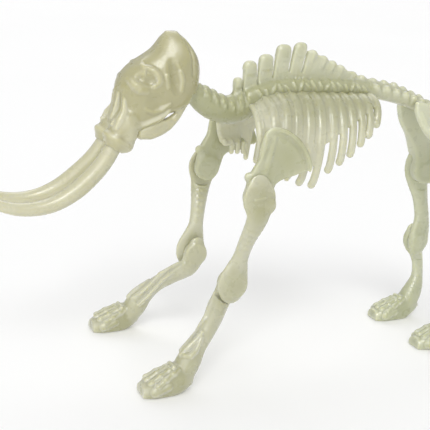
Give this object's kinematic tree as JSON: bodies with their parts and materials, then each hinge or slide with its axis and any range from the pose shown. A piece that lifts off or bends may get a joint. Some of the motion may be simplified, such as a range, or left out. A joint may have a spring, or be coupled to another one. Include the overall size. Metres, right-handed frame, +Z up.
{
  "type": "mammoth skeleton figure",
  "caption": "Toy mammoth skeleton of pale glow-in-the-dark plastic: push-fit bones with jointed legs, nodding tusked head, hinged jaw and lifting tail.",
  "frame": {"origin": "under the middle of the figure's bounding box, on the ground", "axes": "+X from the head towards the tail, +Y towards the animal's right side, +Z up"},
  "size_m": [0.2364, 0.0788, 0.1341],
  "materials": {
    "skull": "glossy, pale green translucent moulded plastic",
    "lower_jaw": "glossy, pale green translucent moulded plastic",
    "tusk_left": "glossy, pale green translucent moulded plastic",
    "tusk_right": "glossy, pale green translucent moulded plastic",
    "backbone": "glossy, pale green translucent moulded plastic",
    "rib_cage_left": "glossy, pale green translucent moulded plastic",
    "rib_cage_right": "glossy, pale green translucent moulded plastic",
    "shoulder_blade_left": "glossy, pale green translucent moulded plastic",
    "shoulder_blade_right": "glossy, pale green translucent moulded plastic",
    "pelvis_left": "glossy, pale green translucent moulded plastic",
    "pelvis_right": "glossy, pale green translucent moulded plastic",
    "tail": "glossy, pale green translucent moulded plastic",
    "upper_foreleg_left": "glossy, pale green translucent moulded plastic",
    "lower_foreleg_left": "glossy, pale green translucent moulded plastic",
    "thigh_left": "glossy, pale green translucent moulded plastic",
    "lower_hindleg_left": "glossy, pale green translucent moulded plastic",
    "upper_foreleg_right": "glossy, pale green translucent moulded plastic",
    "lower_foreleg_right": "glossy, pale green translucent moulded plastic",
    "thigh_right": "glossy, pale green translucent moulded plastic",
    "lower_hindleg_right": "glossy, pale green translucent moulded plastic"
  },
  "bodies": {
    "trunk": {"backbone": "backbone", "rib_cage_left": "rib_cage_left", "rib_cage_right": "rib_cage_right", "shoulder_blade_left": "shoulder_blade_left", "shoulder_blade_right": "shoulder_blade_right", "pelvis_left": "pelvis_left", "pelvis_right": "pelvis_right"},
    "head": {"skull": "skull", "tusk_left": "tusk_left", "tusk_right": "tusk_right"},
    "jaw": {"lower_jaw": "lower_jaw"},
    "tail": {"tail": "tail"},
    "upper_foreleg_left": {"upper_foreleg_left": "upper_foreleg_left"},
    "lower_foreleg_left": {"lower_foreleg_left": "lower_foreleg_left"},
    "thigh_left": {"thigh_left": "thigh_left"},
    "lower_hindleg_left": {"lower_hindleg_left": "lower_hindleg_left"},
    "upper_foreleg_right": {"upper_foreleg_right": "upper_foreleg_right"},
    "lower_foreleg_right": {"lower_foreleg_right": "lower_foreleg_right"},
    "thigh_right": {"thigh_right": "thigh_right"},
    "lower_hindleg_right": {"lower_hindleg_right": "lower_hindleg_right"}
  },
  "joints": [
    {"name": "head_nod", "type": "hinge", "parent": "trunk", "child": "head", "pos_m": [-0.0302, 0, 0.1118], "axis": [0, 1, 0], "range_deg": [-15, 15]},
    {"name": "jaw_swing", "type": "hinge", "parent": "head", "child": "jaw", "pos_m": [-0.0346, 0, 0.1072], "axis": [0, 1, 0], "range_deg": [-25, 0]},
    {"name": "tail_lift", "type": "hinge", "parent": "trunk", "child": "tail", "pos_m": [0.0935, 0, 0.1025], "axis": [0, 1, 0], "range_deg": [-25, 35]},
    {"name": "shoulder_left", "type": "hinge", "parent": "trunk", "child": "upper_foreleg_left", "pos_m": [-0.0076, -0.0263, 0.0745], "axis": [0, 1, 0], "range_deg": [-30, 30]},
    {"name": "elbow_left", "type": "hinge", "parent": "upper_foreleg_left", "child": "lower_foreleg_left", "pos_m": [-0.0124, -0.02, 0.0378], "axis": [0, 1, 0], "range_deg": [-20, 35]},
    {"name": "hip_left", "type": "hinge", "parent": "trunk", "child": "thigh_left", "pos_m": [0.0986, -0.0158, 0.0751], "axis": [0, 1, 0], "range_deg": [-25, 25]},
    {"name": "knee_left", "type": "hinge", "parent": "thigh_left", "child": "lower_hindleg_left", "pos_m": [0.1027, -0.0182, 0.0391], "axis": [0, 1, 0], "range_deg": [-10, 40]},
    {"name": "shoulder_right", "type": "hinge", "parent": "trunk", "child": "upper_foreleg_right", "pos_m": [-0.0076, 0.0263, 0.0745], "axis": [0, 1, 0], "range_deg": [-30, 30]},
    {"name": "elbow_right", "type": "hinge", "parent": "upper_foreleg_right", "child": "lower_foreleg_right", "pos_m": [-0.0124, 0.02, 0.0378], "axis": [0, 1, 0], "range_deg": [-20, 35]},
    {"name": "hip_right", "type": "hinge", "parent": "trunk", "child": "thigh_right", "pos_m": [0.0986, 0.0158, 0.0751], "axis": [0, 1, 0], "range_deg": [-25, 25]},
    {"name": "knee_right", "type": "hinge", "parent": "thigh_right", "child": "lower_hindleg_right", "pos_m": [0.1027, 0.0182, 0.0391], "axis": [0, 1, 0], "range_deg": [-10, 40]}
  ]
}
